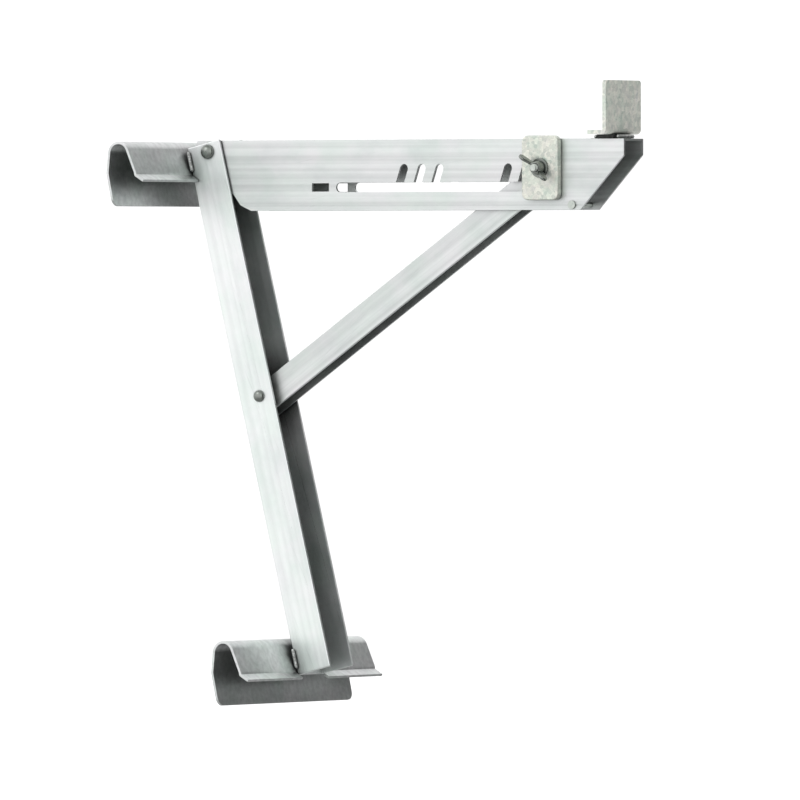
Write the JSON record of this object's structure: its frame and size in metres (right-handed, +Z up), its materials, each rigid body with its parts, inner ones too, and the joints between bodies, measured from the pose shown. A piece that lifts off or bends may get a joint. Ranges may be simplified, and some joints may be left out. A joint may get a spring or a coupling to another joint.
{
  "type": "ladder jack",
  "caption": "Folding plank bracket with two hooks that hang on ladder rungs, a level slotted arm, a diagonal brace with a wing-nut lock and an end stop.",
  "frame": {"origin": "on the axis of the upper ladder rung, at the centre of the upper hook's bend, in the bracket's middle plane", "axes": "+X along the level arm, away from the ladder; +Y along the rung; +Z up"},
  "size_m": [0.6419, 0.298, 0.7384],
  "materials": {
    "aluminium": "mill finish extrusion",
    "plated_steel": "zinc coated, mottled",
    "zinc_hardware": "bright zinc plated",
    "weld": "rippled weld bead",
    "packing": "matt black strip"
  },
  "bodies": {
    "leg": {"arm_pivot_bolt": "zinc_hardware", "arm_pivot_nut": "zinc_hardware", "brace_pivot_bolt": "zinc_hardware", "brace_pivot_nut": "zinc_hardware", "leg_channel": "aluminium", "lower_hook": "aluminium", "lower_hook_weld_far": "weld", "lower_hook_weld_near": "weld", "upper_hook": "aluminium", "upper_hook_weld_far": "weld", "upper_hook_weld_near": "weld"},
    "arm": {"arm_channel": "aluminium", "stop_plate": "plated_steel", "stop_packing": "packing", "stop_weld_front": "weld", "stop_weld_rear": "weld", "arm_tie_rivet": "zinc_hardware", "arm_pivot_washer_near": "zinc_hardware", "arm_pivot_washer_far": "zinc_hardware"},
    "brace": {"brace_channel": "aluminium", "brace_spacer_near": "zinc_hardware", "brace_spacer_far": "zinc_hardware"},
    "lock": {"lock_bolt": "zinc_hardware", "lock_washer": "zinc_hardware", "clamp_plate": "plated_steel", "wing_nut_washer": "zinc_hardware"},
    "wing_nut": {"wing_nut": "zinc_hardware"}
  },
  "joints": [
    {"name": "arm_fold", "type": "hinge", "parent": "leg", "child": "arm", "pos_m": [0.048, 0, 0.00303], "axis": [0, -1, 0], "range_deg": [0, 104]},
    {"name": "brace_fold", "type": "hinge", "parent": "leg", "child": "brace", "pos_m": [0.12076, 0, -0.28801], "axis": [0, -1, 0], "range_deg": [0, 64.5]},
    {"name": "lock_drop", "type": "slide", "parent": "arm", "child": "lock", "axis": [-0.3173, 0, -0.9483], "range_m": [0, 0.0232]},
    {"name": "wing_nut_turn", "type": "hinge", "parent": "lock", "child": "wing_nut", "pos_m": [0.515, 0, -0.01797], "axis": [0, -1, 0], "range_deg": [0, 720]}
  ],
  "couplings": [
    {"joint": "brace_fold", "follows": "arm_fold", "ratio": 0.6196},
    {"joint": "lock_drop", "follows": "arm_fold", "m_per_rad": 0.012525}
  ]
}
